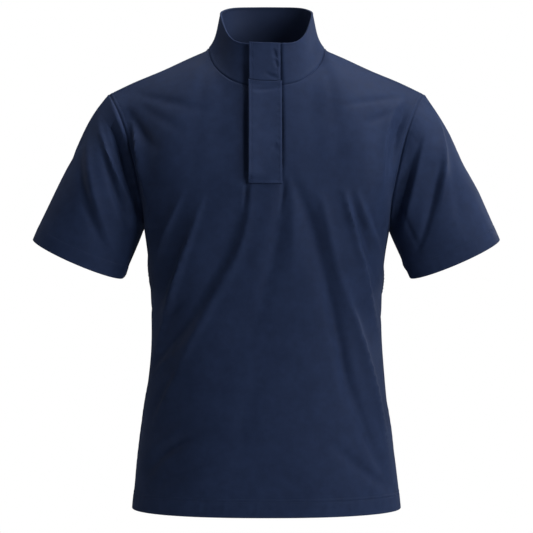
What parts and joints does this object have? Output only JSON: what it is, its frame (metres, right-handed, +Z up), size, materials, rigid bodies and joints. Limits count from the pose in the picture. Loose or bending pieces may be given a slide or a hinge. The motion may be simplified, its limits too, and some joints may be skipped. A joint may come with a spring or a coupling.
{
  "type": "short-sleeved golf wind shirt",
  "caption": "Short-sleeved pullover wind shirt with a stand collar and a covered quarter placket, filled out as when worn.",
  "frame": {"origin": "on the centre line, level with the points where the neck seam meets the shoulder seams, in the middle of the wearer's neck", "axes": "+Z up, -Y is the shirt's front, +X is the wearer's left"},
  "size_m": [0.6908, 0.2425, 0.7583],
  "materials": {
    "cloth": "navy microfibre polyester with a fine dense weave and a soft, slightly brushed surface"
  },
  "bodies": {
    "root": {"front": "cloth", "back": "cloth", "sleeve_left": "cloth", "sleeve_right": "cloth", "collar": "cloth", "placket_flap": "cloth", "collar_flap": "cloth"}
  },
  "joints": []
}
